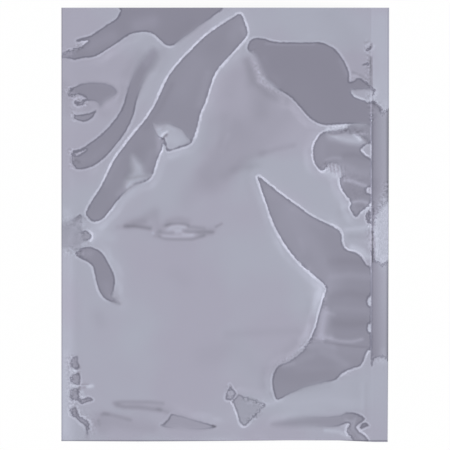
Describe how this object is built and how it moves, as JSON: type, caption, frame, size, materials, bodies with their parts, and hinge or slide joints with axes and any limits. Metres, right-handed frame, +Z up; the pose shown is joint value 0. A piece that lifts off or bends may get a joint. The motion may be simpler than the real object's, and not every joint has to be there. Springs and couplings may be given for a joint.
{
  "type": "anti static shielding bag",
  "caption": "Flat pouch of metallised film, folded across its bottom end, heat-welded down its sides and open at the top, that shields a circuit board from static.",
  "frame": {"origin": "middle of the back wall's outer face, on which the bag lies", "axes": "+X across the bag towards the wide weld, +Y from the fold towards the mouth, +Z up through the front wall"},
  "size_m": [0.229, 0.305, 0.0091],
  "materials": {
    "film": "metallised polyethylene film, silver grey, semi-gloss with soft dents"
  },
  "bodies": {
    "root": {"shielding_bag": "film"}
  },
  "joints": []
}
